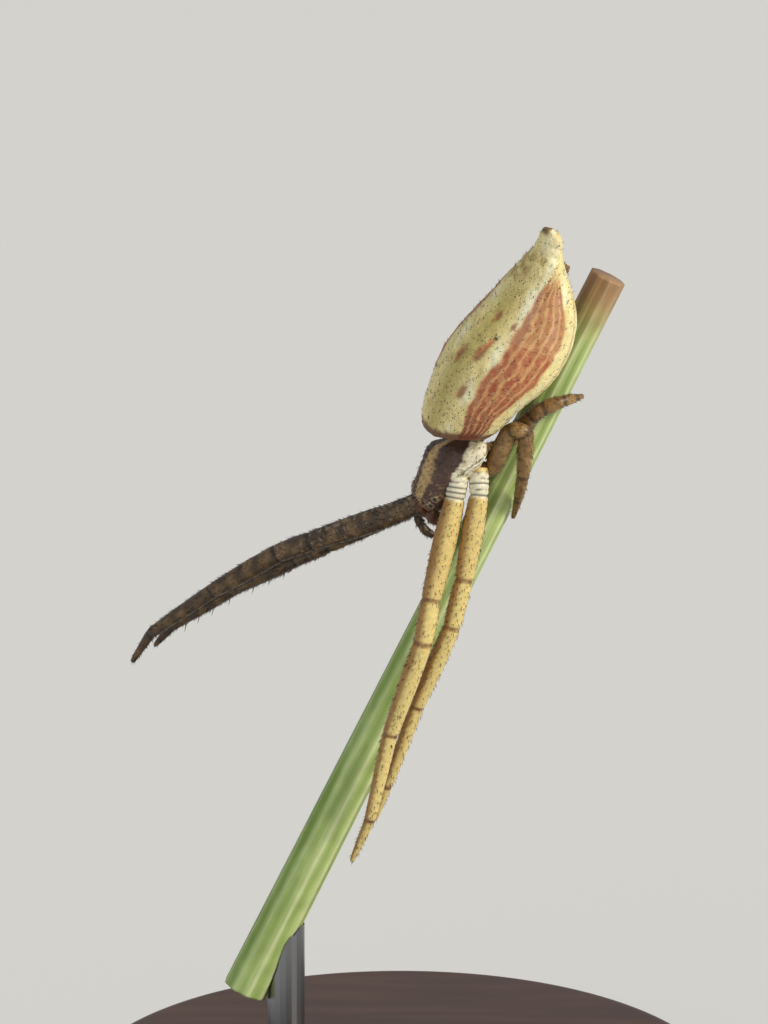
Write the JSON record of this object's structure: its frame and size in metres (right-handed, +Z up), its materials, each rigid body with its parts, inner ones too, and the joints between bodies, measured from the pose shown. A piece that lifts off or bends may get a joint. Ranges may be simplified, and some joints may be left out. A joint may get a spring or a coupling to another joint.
{
  "type": "spider model",
  "caption": "Life-size crab spider with a long pointed abdomen, head down on a short cut length of grass stem that a thin rod holds above a round wooden base.",
  "frame": {"origin": "centre of the round base, on its underside", "axes": "+Z up, out of the base; +X the way the stem leans as it rises; -Y the side the spider turns its back and its left flank to"},
  "size_m": [0.021, 0.021, 0.0312],
  "materials": {
    "abdomen": "satin painted resin: greenish cream with rust-red lengthwise stripes, brown dimples and fine black specks",
    "front_body": "satin painted resin: tan middle band between dark brown bands, cream sides",
    "pale_leg": "satin painted resin: tan with a pale yellow streak, dark joint rings and specks",
    "dark_leg": "satin painted resin: dark brown, mottled",
    "short_leg": "satin painted resin: olive brown with darker specks",
    "eye": "glossy black",
    "stem": "satin, light yellow-green with fine lengthwise ridges",
    "base_wood": "dark stained wood, satin oiled",
    "rod_steel": "fine brushed"
  },
  "bodies": {
    "root": {"abdomen": "abdomen", "chelicera_left": "front_body", "chelicera_right": "front_body", "eye_back_middle_left": "eye", "eye_back_middle_right": "eye", "eye_back_side_left": "eye", "eye_back_side_right": "eye", "eye_front_middle_left": "eye", "eye_front_middle_right": "eye", "eye_front_side_left": "eye", "eye_front_side_right": "eye", "front_body": "front_body", "leg_left_1_femur": "pale_leg", "leg_left_1_metatarsus": "pale_leg", "leg_left_1_patella": "pale_leg", "leg_left_1_tarsus": "pale_leg", "leg_left_1_tibia": "pale_leg", "leg_left_2_femur": "pale_leg", "leg_left_2_metatarsus": "pale_leg", "leg_left_2_patella": "pale_leg", "leg_left_2_tarsus": "pale_leg", "leg_left_2_tibia": "pale_leg", "leg_left_3_femur": "short_leg", "leg_left_3_metatarsus": "short_leg", "leg_left_3_patella": "short_leg", "leg_left_3_tarsus": "short_leg", "leg_left_3_tibia": "short_leg", "leg_left_4_femur": "short_leg", "leg_left_4_metatarsus": "short_leg", "leg_left_4_patella": "short_leg", "leg_left_4_tarsus": "short_leg", "leg_left_4_tibia": "short_leg", "leg_right_1_femur": "dark_leg", "leg_right_1_metatarsus": "dark_leg", "leg_right_1_patella": "dark_leg", "leg_right_1_tarsus": "dark_leg", "leg_right_1_tibia": "dark_leg", "leg_right_2_femur": "dark_leg", "leg_right_2_metatarsus": "dark_leg", "leg_right_2_patella": "dark_leg", "leg_right_2_tarsus": "dark_leg", "leg_right_2_tibia": "dark_leg", "leg_right_3_femur": "short_leg", "leg_right_3_metatarsus": "short_leg", "leg_right_3_patella": "short_leg", "leg_right_3_tarsus": "short_leg", "leg_right_3_tibia": "short_leg", "leg_right_4_femur": "short_leg", "leg_right_4_metatarsus": "short_leg", "leg_right_4_patella": "short_leg", "leg_right_4_tarsus": "short_leg", "leg_right_4_tibia": "short_leg", "palp_left": "dark_leg", "palp_right": "dark_leg", "perch_stem": "stem", "spinnerets": "front_body", "stand_base": "base_wood", "stand_rod": "rod_steel", "waist": "front_body"}
  },
  "joints": []
}
